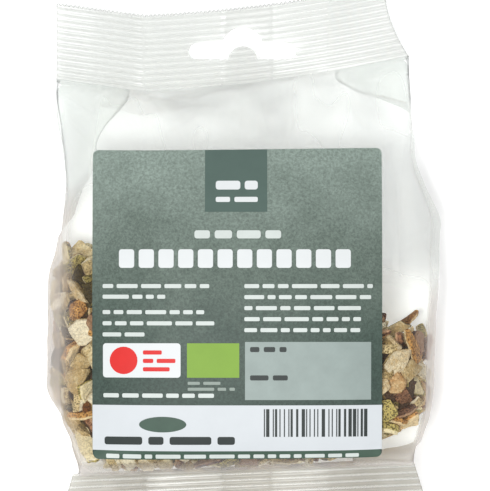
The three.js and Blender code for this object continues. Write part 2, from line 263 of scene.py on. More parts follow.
class Nodes:
    """A material's node tree with short calls for adding and joining nodes."""

    def __init__(self, name):
        self.material = bpy.data.materials.new(name)
        self.material.use_nodes = True
        self.tree = self.material.node_tree
        self.tree.nodes.clear()

    def add(self, kind, **settings):
        node = self.tree.nodes.new("ShaderNode" + kind)
        inputs = settings.pop("inputs", {})
        for key, value in settings.items():
            setattr(node, key, value)
        for key, value in inputs.items():
            if isinstance(value, bpy.types.NodeSocket):
                self.tree.links.new(value, node.inputs[key])
            else:
                node.inputs[key].default_value = value
        return node

    def maths(self, operation, a, b=0.0, clamp=False):
        return self.add("Math", operation=operation, use_clamp=clamp, inputs={0: a, 1: b}).outputs[0]

    def times(self, a, b):
        return self.maths("MULTIPLY", a, b)

    def plus(self, a, b):
        return self.maths("ADD", a, b)

    def attribute(self, name):
        return self.add("Attribute", attribute_name=name).outputs["Fac"]

    def place(self):
        return self.add("TexCoord").outputs["Object"]

    def noise(self, size, detail=4.0, roughness=0.55, distortion=0.0, vector=None):
        """Noise with features about size millimetres across."""
        settings = {
            "Vector": vector or self.place(), "Scale": 1 / (size * MM),
            "Detail": detail, "Roughness": roughness, "Distortion": distortion,
        }
        return self.add("TexNoise", inputs=settings).outputs["Fac"]

    def pits(self, size):
        """Distance from the middles of round cells, about size millimetres apart."""
        settings = {"Scale": 1 / (size * MM), "Vector": self.place()}
        return self.add("TexVoronoi", inputs=settings).outputs["Distance"]

    def ramp(self, fac, *stops):
        """Colours or greys over fac, each stop a (position, colour)."""
        node = self.add("ValToRGB", inputs={"Fac": fac})
        elements = node.color_ramp.elements
        while len(elements) < len(stops):
            elements.new(0.5)
        for element, (position, colour) in zip(elements, stops):
            element.position = position
            element.color = (*colour, 1) if isinstance(colour, tuple) else (colour, colour, colour, 1)
        return node.outputs["Color"]

    def mix(self, fac, a, b, blend="MIX"):
        a, b = (c if isinstance(c, bpy.types.NodeSocket) else (*c, 1) for c in (a, b))
        inputs = {0: fac, 6: a, 7: b}
        return self.add("Mix", data_type="RGBA", blend_type=blend, inputs=inputs).outputs[2]

    def bump(self, height, depth, strength, normal=None):
        """A bump whose full height is depth millimetres."""
        inputs = {"Height": height, "Distance": depth * MM, "Strength": strength}
        if normal is not None:
            inputs["Normal"] = normal
        return self.add("Bump", inputs=inputs).outputs["Normal"]

    def surface(self, colour, roughness, specular, normal):
        inputs = {
            "Base Color": colour, "Roughness": roughness,
            "Specular IOR Level": specular, "Normal": normal,
        }
        return self.add("BsdfPrincipled", inputs=inputs).outputs[0]

    def finish(self, shader):
        output = self.add("OutputMaterial")
        self.tree.links.new(shader, output.inputs["Surface"])
        return self.material


def rgb(red, green, blue):
    """A colour given as 0 to 255 on a screen, as the linear values that shaders take."""
    shown = (c / 255 for c in (red, green, blue))
    return tuple(c / 12.92 if c <= 0.04045 else ((c + 0.055) / 1.055) ** 2.4 for c in shown)


# ---- Helpers for objects ----


def put_in_scene(name, data):
    thing = bpy.data.objects.new(name, data)
    bpy.context.scene.collection.objects.link(thing)
    return thing


def new_object(name, points, faces, material):
    """A smoothly shaded mesh object from points in the frame's metres."""
    mesh = bpy.data.meshes.new(name)
    mesh.from_pydata(np.asarray(points).tolist(), [], faces)
    mesh.update()
    mesh.polygons.foreach_set("use_smooth", [True] * len(mesh.polygons))
    mesh.materials.append(material)
    return put_in_scene(name, mesh)


def set_attribute(piece, name, values):
    layer = piece.data.attributes.new(name, "FLOAT", "POINT")
    layer.data.foreach_set("value", np.asarray(values, dtype=np.float32))


def apply_modifier(piece, kind, **settings):
    modifier = piece.modifiers.new(kind.lower(), kind)
    for key, value in settings.items():
        setattr(modifier, key, value)
    with bpy.context.temp_override(object=piece, active_object=piece):
        bpy.ops.object.modifier_apply(modifier=modifier.name)


def grid_quads(index):
    """Faces of a grid of point numbers that closes on itself round each row."""
    right = np.roll(index, -1, axis=1)
    return np.stack([index[:-1], right[:-1], right[1:], index[1:]], -1).reshape(-1, 4).tolist()


def fbm(points, size, octaves, seed):
    """Soft noise from about -1 to 1, with features about size millimetres across."""
    offset = Vector((seed, 3.7 * seed, -1.9 * seed))
    return np.array([noise.fractal(Vector(p) / size + offset, 0.9, 2.1, octaves) for p in points])


def folds(points, size, seed):
    """Sharp crumple lines, 0 between them and up to 1 on them."""
    offset = Vector((seed, -2.3 * seed, 1.1 * seed))
    values = np.array([noise.noise(Vector(p) / size + offset) for p in points])
    return np.clip(1 - FOLD_SHARPNESS * np.abs(values), 0, 1) ** 2


# ---- The film ----

PANEL_COLUMNS, GUSSET_COLUMNS, BODY_ROWS = 156, 26, 118
CRIMP_PITCH = 1.86
CRIMP_DEPTH = 0.24
SEAL_ROWS_PER_PITCH = 6
SEAL_FILM = 0.14  # half the thickness of the welded layers
CUT_TOOTH = 0.35  # depth of the serrated cut
SEAM_LEFT, SEAM_RIGHT = -5.0, 9.6  # the back seam, pressed flat
SEAM_STEP, GUSSET_STEP = 0.15, 0.22  # how much the seam and the left gusset lift a seal
PEEL_LEVEL_LEFT, PEEL_LEVEL_RIGHT = 4.5, -22.0  # where the peel ends at the two side edges
LOWEST = 0.02  # the film's clearance over the floor

# Heights of the film's relief.
SOFT_WAVES, FINE_WAVES = 1.5, 0.12
CRUMPLE, OVER_PEEL = 0.34, 0.32
FOLD_SHARPNESS = 4.5
LABEL_MARGIN = 5.0  # where the relief fades out towards the label

# How much of the film is cloudy, from 0 to 1.
SLACK_MILK = 0.34
GUSSET_MILK = 0.3
SEAL_MILK = 0.42
DOUBLE_SEAL_MILK = 0.46  # where the gussets' layers are in the seal too
SEAM_MILK = 0.1

# The hang slot, measured like the solid's.
SLOT_X, SLOT_Y = 0.9, 57.4  # the middle of its lower edge
SLOT_WIDTH, SLOT_HEIGHT = 32.0, 9.4
SLOT_WING, SLOT_CROWN = 4.6, 6.2
TONGUE_HALF, TONGUE_HEIGHT = 4.4, 3.9  # of the rear film left in it
PUNCH_Z = (5.0, 30.0)

# Folds of the front panel: from x, y to x, y, height and half width.
FRONT_FOLDS = (
    (-53.5, 46.5, -40.5, 38.5, 0.9, 0.8),
    (-53, 42, -46, 33, -0.8, 1.2),
    (-52.5, 37, -49, 24, 0.7, 1),
    (-29, 46, -22, 38, 0.8, 1.4),
    (-26, 47, -4, 43, -0.7, 1.6),
    (46, 53, 50.5, 35, 0.9, 0.9),
    (43.5, 51, 45, 22, 0.7, 1.6),
    (50, 33, 47.5, 6, -0.6, 1.4),
    (46.5, 20, 47, -8, 0.7, 1.2),
    (28, 50, 38, 34, 0.8, 3),
    (6, 46, 10, 33, -1.3, 5),
    (-50.5, 12, -49, -6, 0.5, 1),
    (44, -55, 51, -49, 0.6, 0.8),
    (-46, -50, -49.5, -38, 0.4, 0.8),
)


def fold_height(x, y, fold):
    """How high a straight fold stands at x, y: sharp across it and faded at both ends."""
    x0, y0, x1, y1, height, width = fold
    dx, dy = x1 - x0, y1 - y0
    length = hypot(dx, dy)
    along_it = ((x - x0) * dx + (y - y0) * dy) / length**2
    off = np.abs((x - x0) * dy - (y - y0) * dx) / length
    fade = step_up((along_it + 0.25) / 0.4) * step_up((1.25 - along_it) / 0.4)
    return height * np.exp(-np.sqrt(off**2 + 0.06) / width) * fade


def under_label(x, y):
    """1 under the label, falling to 0 over a margin around it."""
    off_x = np.maximum(LABEL_LEFT - x, x - LABEL_RIGHT)
    off_y = np.maximum(LABEL_BOTTOM - 1 - y, y - LABEL_TOP)
    return 1 - step_up(np.maximum(off_x, off_y) / LABEL_MARGIN)


def peel_level(x):
    share = (x - PANEL_LEFT) / (PANEL_RIGHT - PANEL_LEFT)
    return PEEL_LEVEL_LEFT + (PEEL_LEVEL_RIGHT - PEEL_LEVEL_LEFT) * share


def film_relief(points, panel, k):
    """How far the film stands off its plain form, at each of the body's points."""
    flat = points.reshape(-1, 3)
    x, y = flat[:, 0], flat[:, 1]
    panel = np.broadcast_to(panel, points.shape[:2]).ravel()
    empty = step_up((y - peel_level(x) + 6) / 16)
    soft = SOFT_WAVES * fbm(flat, 26, 2, 1.0) * (0.2 + 0.8 * empty)
    crumple = folds(flat * (1, 0.55, 1), 17, 4.0) - 0.6 * folds(flat * (0.8, 1, 1), 23, 9.0)
    crumple *= 0.1 + 0.75 * empty
    fine = FINE_WAVES * fbm(flat, 5, 2, 6.0) * (0.4 + 0.6 * empty)
    over_peel = OVER_PEEL * np.maximum(0, fbm(flat, 6.5, 2, 12.0)) * (1 - empty)
    relief = soft + CRUMPLE * crumple + fine + over_peel
    front = panel == 0
    for fold in FRONT_FOLDS:
        relief = np.where(front, relief + fold_height(x, y, fold), relief)
    relief = np.where(front, relief * (1 - under_label(x, y)), relief)
    resting = (panel == 2) & (flat[:, 2] < 3)
    relief = np.where(resting, np.minimum(relief, 0.1) * 0.25, relief)
    ends = step_up(np.minimum(k, 1 - k) / 0.06)
    return relief.reshape(points.shape[:2]) * ends[:, None]


def grid_normals(points):
    """Outward unit normals of a closed-round grid of points."""
    down = np.gradient(points, axis=0)
    round_it = np.roll(points, -1, axis=1) - np.roll(points, 1, axis=1)
    normals = np.cross(round_it, down)
    return normals / np.maximum(np.linalg.norm(normals, axis=2, keepdims=True), 1e-9)


def crimped_seal(seal, height, panel, place):
    """A seal's rows, ridged by the jaws and cut with a serrated knife, and each point's ridge."""
    rows = int(height / CRIMP_PITCH * SEAL_ROWS_PER_PITCH)
    out = height * np.arange(1, rows + 1) / rows
    points = seal_rings(seal, out, panel, place, SEAL_FILM)
    x = points[..., 0]
    press = step_up(out / 1.2)[:, None]
    layers = np.where((x < FOLD_LEFT) | (x > FOLD_RIGHT), 1.0, 0.62)
    uneven = 0.75 + 0.35 * np.sin(x / 9 + 1.3) * np.cos(out[:, None] / 7)
    ridge = np.sin(2 * pi * out / CRIMP_PITCH)[:, None]
    points[..., 2] += CRIMP_DEPTH * ridge * press * layers * uneven
    seam = (x > SEAM_LEFT) & (x < SEAM_RIGHT)
    points[..., 2] += np.where(seam, SEAM_STEP, 0.0) + np.where(x < FOLD_LEFT, GUSSET_STEP, 0.0)
    tooth = np.where(np.arange(len(panel)) % 2, CUT_TOOTH, -CUT_TOOTH)
    way = 1 if seal == "top" else -1
    points[-1, :, 1] += way * tooth
    return points, np.broadcast_to(ridge, x.shape)


def slackness(points):
    """0 where the peel fills the bag and 1 where only air does."""
    x, y = points[..., 0], points[..., 1]
    return step_up((y - peel_level(x) - 5) / 14)


def milkiness(points, panel, place, ridge=None):
    """How cloudy the film is: most in the seals, and clear on the front over the peel. Extra
    cloudiness also paints highlights along the creases, and light and shade across the seals' crimps.
    """
    x = points[..., 0]
    seam = np.where((x > SEAM_LEFT) & (x < SEAM_RIGHT), SEAM_MILK, 0.0)
    if ridge is None:
        empty = slackness(points)
        # the gussets' band next to the front creases is a painted highlight, made as extra cloudiness
        # over the peel
        gusset = GUSSET_MILK - 0.25 * empty + 0.12 * bell(place, 0, 0.12) * (1 - empty)
        # painted highlights along the front panel's creases, made as extra cloudiness over the peel
        painted_crease_highlight = 0.33 * bell(place, -1, 0.055) + 0.12 * bell(place, 1, 0.05)
        front = SLACK_MILK * empty + painted_crease_highlight * (1 - empty)
        return np.choose(panel, (front, gusset, seam * 0.3 + 0.12 * empty, gusset))
    gusseted = (x < FOLD_LEFT) | (x > FOLD_RIGHT)
    # cloudiness rises and falls with each crimp ridge: painted light and shade across the crimps
    return (np.where(gusseted, DOUBLE_SEAL_MILK, SEAL_MILK) + seam) * (1 - 0.34 * ridge)


def film_sheet(n, normal):
    """The clear film, which mirrors more aslant."""
    clear = n.add("BsdfTransparent", inputs={"Color": (*rgb(252, 253, 252), 1)}).outputs[0]
    settings = {"Color": (0.95, 0.96, 0.95, 1), "Roughness": 0.2, "Normal": normal}
    gloss = n.add("BsdfGlossy", inputs=settings).outputs[0]
    mirror = n.add("LayerWeight", inputs={"Blend": 0.26, "Normal": normal}).outputs["Fresnel"]
    mirror = n.times(mirror, n.attribute("shine"))
    return n.add("MixShader", inputs={0: mirror, 1: clear, 2: gloss}).outputs[0]


def film_skin(n, normal, slack):
    """The cloudy film: its tint carries painted peel-coloured light where the peel lies under it, and
    painted shade with a peel-coloured cast in the bottom seal.
    """
    # pinkish and lighter over the peel: painted light from the peel in the film's haze
    tint_with_peel_light = n.mix(slack, rgb(243, 237, 233), rgb(232, 234, 233))
    tint = n.mix(n.attribute("loose"), rgb(222, 223, 220), tint_with_peel_light)
    # the bottom seal's tint is darker beige-grey: painted shade under the pack's end, with a
    # peel-coloured cast
    fin_painted_shade_tint = n.ramp(n.noise(22, 2), (0.35, rgb(168, 163, 150)), (0.7, rgb(206, 203, 194)))
    tint = n.mix(n.attribute("fin_painted_shade"), tint, fin_painted_shade_tint)
    skin = n.surface(tint, 0.35, 0.5, normal)
    through = n.add("BsdfTranslucent", inputs={"Color": tint, "Normal": normal}).outputs[0]
    return n.add("MixShader", inputs={0: 0.4, 1: skin, 2: through}).outputs[0]


def cloudy_share(n, slack):
    """How much of the film is cloudy: more aslant, and where it is slack with lengthways bands of
    painted light and shade that stand for soft folds.
    """
    cloud = n.ramp(n.noise(16, 3), (0.35, 0.0), (0.75, 1.0))
    haze = n.plus(n.times(cloud, 0.012), 0.004)
    edge = n.add("LayerWeight", inputs={"Blend": 0.5}).outputs["Facing"]
    veil = n.maths("SUBTRACT", 0.38, n.times(slack, 0.26))
    aslant = n.times(n.ramp(edge, (0.2, 0.0), (0.65, 0.6), (1.0, 1.0)), veil)
    # lengthways bands in the slack film's cloudiness: painted light and shade of soft folds
    lengthways = {"Vector": n.place(), "Scale": (1, 0.26, 0.6), "Rotation": (0, 0, 0.12)}
    stretched = n.add("Mapping", inputs=lengthways).outputs[0]
    painted_fold_shade_streak = n.ramp(n.noise(10, 0.6, 0.4, 0.0, stretched), (0.26, 0.6), (0.74, 1.45))
    painted_fold_shade_streaky = n.mix(n.times(slack, n.attribute("loose")), (1, 1, 1), painted_fold_shade_streak)
    milk = n.times(n.attribute("milk"), painted_fold_shade_streaky)
    return n.maths("ADD", n.plus(haze, milk), aslant, True)


def film_material():
    """Clear film, cloudy where layers are welded, by the gussets and where it is slack. The
    cloudiness and the film's tint also carry painted highlights, painted shade and painted light from
    the peel.
    """
    n = Nodes("clear_film")
    normal = n.bump(n.noise(7, 3, 0.6, 1.2), 0.16, 0.8)
    normal = n.bump(n.noise(1.8, 2), 0.012, 0.6, normal)
    slack = n.attribute("slack")
    shaders = {0: cloudy_share(n, slack), 1: film_sheet(n, normal), 2: film_skin(n, normal, slack)}
    return n.finish(n.add("MixShader", inputs=shaders).outputs[0])


def slot_outline():
    """The euro slot, less the tongue of rear film in its middle, as points round it."""
    end = SLOT_WING / 2
    straight = SLOT_WIDTH / 2 - end
    middle = SLOT_HEIGHT - SLOT_CROWN
    right = [(TONGUE_HALF, 0), (straight, 0)]
    for a in np.linspace(-pi / 2, pi / 2, 9)[1:-1]:
        right.append((straight + end * cos(a), end + end * sin(a)))
    right.append((straight, SLOT_WING))
    left = [(-x, y) for x, y in right[::-1]]
    shoulder = asin((SLOT_WING - middle) / SLOT_CROWN)
    turns = np.linspace(shoulder, pi - shoulder, 17)
    crown = [(SLOT_CROWN * cos(a), middle + SLOT_CROWN * sin(a)) for a in turns]
    turns = np.linspace(pi, 0, 11)[1:-1]
    tongue = [(TONGUE_HALF * cos(a), TONGUE_HEIGHT * sin(a)) for a in turns]
    return right + crown + left + tongue


def cut_hang_slot(film):
    """Cuts the slot through the hanging seal, where the solid has it."""
    outline = [(SLOT_X + x, SLOT_Y + y) for x, y in slot_outline()]
    count = len(outline)
    points = [to_frame((x, y, z)) for z in PUNCH_Z for x, y in outline]
    faces = [tuple(range(count))[::-1], tuple(range(count, 2 * count))]
    faces += [(i, (i + 1) % count, count + (i + 1) % count, count + i) for i in range(count)]
    punch = new_object("punch", points, faces, film.data.materials[0])
    apply_modifier(film, "BOOLEAN", operation="DIFFERENCE", object=punch, solver="EXACT")
    bpy.data.objects.remove(punch)


def seal_caps(index):
    """Faces that close both ends: a strip between the panels and a fan on each gusset."""
    span = PANEL_COLUMNS + 1
    back = span + GUSSET_COLUMNS - 1
    caps = []
    for ring, flip in ((index[0], True), (index[-1], False)):
        upper, lower = ring[:span], ring[back : back + span][::-1]
        strip = np.stack([upper[:-1], upper[1:], lower[1:], lower[:-1]], -1).tolist()
        right_fan = [*ring[span - 1 : back + 1]]
        left_fan = [*ring[back + span - 1 :], ring[0]]
        caps += [face[::-1] if flip else face for face in (*strip, right_fan, left_fan)]
    return caps


def make_film():
    """The whole bag as one skin: both panels, both gussets and the two crimped seals."""
    panel, place = ring_columns(PANEL_COLUMNS, GUSSET_COLUMNS)
    k = np.linspace(0, 1, BODY_ROWS + 1)
    body = body_rings(k, panel, place)
    body = body + grid_normals(body) * film_relief(body, panel, k)[..., None]
    body[..., 2] = np.maximum(body[..., 2], LOWEST)
    bottom, bottom_ridge = crimped_seal("bottom", BOTTOM_SEAL_HEIGHT, panel, place)
    top, top_ridge = crimped_seal("top", TOP_SEAL_HEIGHT, panel, place)
    bottom, bottom_ridge = bottom[::-1], bottom_ridge[::-1]
    rows = np.concatenate([bottom, body, top])
    milk = np.concatenate([
        milkiness(bottom, panel, place, bottom_ridge),
        milkiness(body, panel, place),
        milkiness(top, panel, place, top_ridge),
    ])
    part_sizes = [len(part) * len(panel) for part in (bottom, body, top)]
    index = np.arange(milk.size).reshape(milk.shape)
    faces = grid_quads(index) + seal_caps(index)
    film = new_object("film_bag", to_frame(rows.reshape(-1, 3)), faces, film_material())
    set_attribute(film, "milk", milk.ravel())
    set_attribute(film, "loose", np.repeat([0.0, 1.0, 0.0], part_sizes))
    # the bottom seal carries the painted shade tint
    set_attribute(film, "fin_painted_shade", np.repeat([0.9, 0.0, 0.0], part_sizes))
    set_attribute(film, "slack", slackness(rows).ravel())
    set_attribute(film, "shine", np.tile(np.choose(panel, (0.9, 0.3, 0.25, 0.3)), len(rows)))
    cut_hang_slot(film)
    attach(film, "root")
    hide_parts("bag")


# ---- The label ----

LABEL_LIFT = 0.36  # the label's underside over the film
LABEL_SHADE = 0.8  # how bright the matt label leaves each colour
LABEL_PAPER = 0.14
INK = 0.045  # thickness of each printed field
PRINT_STEP = 2.2  # pitch of the cuts that let the print bend
FINE_STEP = 0.6  # and where the label turns down round the filled end
FINE_FROM = 83.6  # below the label's upper edge
FOOT_TOP = 89.3
LABEL_WIDTH, LABEL_HEIGHT = LABEL_RIGHT - LABEL_LEFT, LABEL_TOP - LABEL_BOTTOM
EDGE = 0.05  # paper left free along the label's edges
HEADING_PITCH = 5.83
INKS = {
    # colour, and how much its tone varies
    "dark_green": ((74, 98, 84), 0.12),
    "teal": ((92, 113, 105), 0.05),
    "white": ((244, 248, 248), 0.02),
    "band_white": ((229, 234, 237), 0.02),
    "pale_text": ((228, 236, 231), 0.05),
    "sage": ((166, 180, 175), 0.08),
    "black": ((52, 60, 58), 0.1),
    "red": ((238, 50, 46), 0.05),
    "leaf_green": ((140, 181, 63), 0.04),
    "dim_text": ((158, 171, 162), 0.06),
}


def over_front(x, y, lift):
    """Points lift millimetres off the front panel, over x and y."""
    k_table = np.linspace(0.15, 1, 700)
    y_table = spline(FRONT_LINE, k_table)[:, 0]
    rising = np.argmin(y_table)

    def at(px, py):
        k = np.interp(py, y_table[rising:], k_table[rising:])
        left, right = along(CREASE_LEFT, py), along(CREASE_RIGHT, py)
        return body_point(k, px, front_height(py, 2 * (px - left) / (right - left) - 1))

    step = 0.5
    sideways = at(x + step, y) - at(x - step, y)
    upwards = at(x, y + step) - at(x, y - step)
    normal = np.cross(sideways, upwards)
    normal /= np.linalg.norm(normal, axis=-1, keepdims=True)
    return at(x, y) + normal * lift


def rounded(left, top, right, bottom, radius=0.0):
    """A rectangle on the label, in millimetres right of and below its upper left corner."""
    if radius == 0:
        return [(left, top), (left, bottom), (right, bottom), (right, top)]
    corners = ((left, top, 90), (left, bottom, 180), (right, bottom, 270), (right, top, 0))
    points = []
    for x, y, start in corners:
        cx = x + radius if x == left else x - radius
        cy = y + radius if y == top else y - radius
        for step in range(5):
            angle = radians(start + 22.5 * step)
            points.append((cx + radius * cos(angle), cy - radius * sin(angle)))
    return points


def oval(x, y, half_width, half_height, steps):
    turns = [2 * pi * i / steps for i in range(steps)]
    return [(x + half_width * cos(a), y - half_height * sin(a)) for a in turns]


def words(left, top, right, height, seed, longest, gap=1.3):
    """Plain bars as long as words, filling a line from left to right."""
    rng = random.Random(seed)
    bars = []
    x = left
    while right - x > 1.6:
        width = min(rng.uniform(2.2, longest), right - x)
        bars.append(rounded(x, top, x + width, top + height, height * 0.3))
        x += width + gap
    return bars


def text_block(left, top, widths, pitch, height, seed):
    """Lines of words, one for each width."""
    bars = []
    for row, width in enumerate(widths):
        bars += words(left, top + row * pitch, left + width, height, seed + row, 8.0, 1.0)
    return bars


def stripes(left, top, width, height, seed):
    """Upright bars of mixed widths, as on any goods, that follow no code."""
    rng = random.Random(seed)
    bars = []
    x = left
    module = width / 95
    while x < left + width - 3 * module:
        thick = module * rng.choice((1, 1, 2, 2, 3))
        bars.append(rounded(x, top, x + thick, top + height))
        x += thick + module * rng.choice((1, 1, 2, 3))
    return bars


def cut_up(mesh):
    """Cuts the label's flat fields along a grid, finer at the foot, so that they can bend."""
    coarse = np.arange(PRINT_STEP, FINE_FROM, PRINT_STEP)
    fine = np.arange(FINE_FROM, LABEL_HEIGHT, FINE_STEP)
    rows = -np.concatenate([coarse, fine, [FOOT_TOP]])
    columns = np.arange(PRINT_STEP, LABEL_WIDTH, PRINT_STEP)
    for normal, cuts in ((Vector((1, 0, 0)), columns), (Vector((0, 1, 0)), rows)):
        for cut in cuts:
            geometry = mesh.verts[:] + mesh.edges[:] + mesh.faces[:]
            bmesh.ops.bisect_plane(mesh, geom=geometry, plane_co=normal * cut, plane_no=normal)


def printed(name, outlines, layer, material, thickness=INK):
    """Fields of one colour: flat outlines cut into small faces and laid onto the label."""
    mesh = bmesh.new()
    for outline in outlines:
        mesh.faces.new([mesh.verts.new((x, -y, 0)) for x, y in outline])
    cut_up(mesh)
    bmesh.ops.recalc_face_normals(mesh, faces=mesh.faces[:])
    if sum(f.normal.z for f in mesh.faces) < 0:
        bmesh.ops.reverse_faces(mesh, faces=mesh.faces[:])
    flat = np.array([v.co for v in mesh.verts])
    faces = [[v.index for v in f.verts] for f in mesh.faces]
    mesh.free()
    lift = LABEL_LIFT + LABEL_PAPER + layer * INK
    top = over_front(LABEL_LEFT + flat[:, 0], LABEL_TOP + flat[:, 1], lift)
    piece = new_object(name, to_frame(top), faces, material)
    apply_modifier(piece, "SOLIDIFY", thickness=thickness * MM, offset=-1.0)
    piece.data.set_sharp_from_angle(angle=radians(40))
    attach(piece, "root")
    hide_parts("label")


def label_height(n):
    """How far up the label a point is, 0 to 1."""
    y = n.add("SeparateXYZ", inputs={0: n.place()}).outputs["Y"]
    low, high = ((edge + SHIFT[1]) * MM for edge in (LABEL_BOTTOM, LABEL_TOP))
    return n.add("MapRange", inputs={0: y, 1: low, 2: high}).outputs[0]


def paper_shader(n, colour):
    colour = n.mix(1.0, colour, (LABEL_SHADE,) * 3, "MULTIPLY")
    normal = n.bump(n.noise(0.35, 2, 0.6), 0.02, 0.5)
    normal = n.bump(n.noise(11, 2, 0.5), 0.25, 0.35, normal)
    return n.finish(n.surface(colour, 0.55, 0.35, normal))


def label_material():
    """A mottled grey-green, light at the top and dark below."""
    n = Nodes("label_grey_green")
    blotch = n.plus(n.noise(13, 4, 0.62), -0.5)
    tone = n.plus(label_height(n), n.times(blotch, 0.5))
    greens = (
        (0.02, rgb(62, 80, 72)), (0.38, rgb(80, 97, 88)), (0.62, rgb(108, 123, 113)),
        (1.0, rgb(150, 166, 156)),
    )
    fleck = n.ramp(n.noise(0.75, 3, 0.7, 0.6), (0.36, 0.72), (0.64, 1.2))
    return paper_shader(n, n.mix(1.0, n.ramp(tone, *greens), fleck, "MULTIPLY"))


def ink_material(name, colour, variation):
    n = Nodes("ink_" + name)
    shade = n.ramp(n.noise(6, 4, 0.6), (0.25, 1 - variation), (0.75, 1 + variation))
    return paper_shader(n, n.mix(1.0, rgb(*colour), shade, "MULTIPLY"))


def label_fields():
    """The label's fields of colour, each (name, ink, outlines)."""
    right, bottom = LABEL_WIDTH - EDGE, LABEL_HEIGHT - EDGE
    steps = [HEADING_PITCH * i for i in range(12)]
    return (
        ("teal_square", "teal", [rounded(33.3, EDGE, 51.8, 18.6)]),
        ("white_band", "band_white", [rounded(EDGE, 75.9, right, FOOT_TOP)]),
        ("dark_foot", "dark_green", [rounded(EDGE, FOOT_TOP, right, bottom, 1.5)]),
        ("sage_box", "sage", [rounded(45.2, 57.1, 82.5, 74.3)]),
        ("seal_box", "white", [rounded(3.2, 57.5, 26.1, 67.7, 0.9)]),
        ("green_box", "leaf_green", [rounded(28, 57.5, 43.5, 67.7)]),
        ("heading", "white", [rounded(7.9 + x, 29.7, 12.4 + x, 35.2, 0.8) for x in steps]),
    )


def label_print():
    """Bars for words, marks and stripes over the fields, each (name, ink, outlines)."""
    pale_text = words(30.2, 24.1, 56, 2.4, 11, 7.5, 1.4)
    pale_text += text_block(3.1, 40, (31.5, 18.5), 3.15, 1.2, 21)
    pale_text += text_block(3.1, 47.7, (30, 33, 12.5), 3.3, 1.2, 31)
    pale_text += text_block(45, 40, (38, 37.5, 36.5, 34.5, 36.5), 3.25, 1.2, 41)
    pale_text += words(3.3, 72.4, 36, 1.25, 61, 7, 1)
    pale_text += words(4, 90.2, 79, 1, 71, 7.5, 1)
    square_text = words(36.5, 9.4, 49, 2.6, 83, 12.5) + words(36.5, 14.2, 49, 1.5, 85, 12.5)
    note_text = words(46.7, 58.6, 57.5, 1.5, 91, 9) + words(46.7, 67, 59.5, 1.5, 95, 6.5)
    return (
        ("pale_text", "pale_text", pale_text),
        ("square_text", "white", square_text),
        ("dim_text", "dim_text", text_block(28.2, 68.9, (11.5, 14), 1.75, 0.9, 51)),
        ("note_text", "black", note_text),
        ("red_disc", "red", [oval(9.3, 62.6, 4.1, 4.1, 28)]),
        ("red_text", "red", text_block(15, 59.6, (8, 9.6, 8.2), 2.5, 1.25, 101)),
        ("mark", "dark_green", [oval(20.8, 81.6, 7, 2.3, 36)]),
        ("dark_text", "black", words(3.6, 85.2, 42.2, 2.3, 111, 13, 1.8)),
        ("bars", "black", stripes(50.8, 77, 31.3, 8.2, 121)),
    )


def make_label():
    """The label's sheet and its print."""
    sheet = rounded(0, 0, LABEL_WIDTH, LABEL_HEIGHT, LABEL_CORNER)
    printed("label_sheet", [sheet], 0, label_material(), LABEL_PAPER)
    inks = {name: ink_material(name, *look) for name, look in INKS.items()}
    for layer, fields in ((1, label_fields()), (2, label_print())):
        for name, ink, outlines in fields:
            printed("label_" + name, outlines, layer, inks[ink])


# ---- The peel ----

OUTLINE_STEPS = 22
CHIP_KINDS = (
    # name, how many in a hundred, rind colours dark and light, pith colours dark and light
    ("olive", 28, (78, 64, 30), (208, 188, 112), (198, 168, 114), (250, 234, 190)),
    ("amber", 18, (122, 74, 32), (226, 170, 96), (198, 152, 98), (250, 224, 174)),
    ("cream", 42, (176, 146, 92), (240, 216, 162), (216, 186, 134), (255, 243, 212)),
    ("brown", 12, (88, 58, 42), (172, 124, 90), (158, 118, 86), (212, 172, 136)),
)
SPHERE = 1.05  # radius of the spheres that keep the chips apart
FILM_ROOM = 0.75  # kept free under the film's plain form
SHELL = 8.5  # depth of the layer of loose chips over the core
CHIP_SPACING = 4.7
CHIP_TRIES = 60000
TRY_BOX = ((-60, 62), (-66, 12), (0.5, 50))
LEAST_DEPTH = 1.6  # of a chip's middle under the film
HIDDEN_FROM = 32  # the height over which the label hides the peel
LABEL_COVER_X, LABEL_COVER_Y = 9, 6  # how far inside the label's edges
HEAP_SLOPE = (0.1, 0.9, 0.35)  # the way out through the heap's top
PITH_UP = 0.62  # share of the chips that turn their pith to the film
LEAN, LEAN_BY_DEPTH = 0.42, 0.14  # of a chip, in radians, and more deeper down
HEAP_GAP = 1.5  # below the peel's level in the film
HEAP_LEAN, HEAP_DEPTH = 4.0, 50
EMPTY_X, EMPTY_Y, EMPTY_RISE = 21, -66.3, 0.42
RELAX_STEPS = 26
RELAX_SHARE = 0.7  # of each push that a step carries out
MOST_TURN = 0.25  # radians in one step
CORE_INSET = 5.0
CORE_LUMPS = 1.3
# dark peel colours that paint the shade in the gaps between the chips
CORE_PAINTED_SHADE_COLOURS = ((40, 28, 20), (82, 60, 42), (52, 37, 27), (102, 76, 52))
CHIP_SIZES = (
    # upper limit of a draw from 0 to 1, then the ranges of length, width and thickness
    (0.18, (10, 17), (3.0, 4.6), (1.7, 2.7)),
    (0.34, (11.5, 15.5), (8, 11), (1.5, 2.3)),
    (1.0, (7, 13), (4.8, 8.2), (1.7, 3.2)),
)


def heap_top(x, z):
    """How far up the pack the peel reaches: less far at the right and at the front."""
    return peel_level(x) - HEAP_GAP - HEAP_LEAN * step_up(z / HEAP_DEPTH)


def line_table(line):
    """The ys and heights of a side view line, from its lowest y on."""
    samples = spline(line, np.linspace(0, 1, 600))
    return samples[np.argmin(samples[:, 0]) :].T


FRONT_BY_Y = line_table(FRONT_LINE)
BACK_BY_Y = line_table(BACK_LINE)
END_BY_Z = tuple(np.array([(z, y) for y, z in (*BACK_LINE[4::-1], *FRONT_LINE[:5])], float).T)
OUTWARDS = np.array(((0, 0.15, 1), (0, 0, -1), (-1, 0, 0), (1, 0, 0), (0, -1, 0)), float)


def empty_corner(x):
    """The peel's lower edge at the right, where the bag's corner stays empty."""
    return EMPTY_Y + EMPTY_RISE * np.maximum(0, x - EMPTY_X)


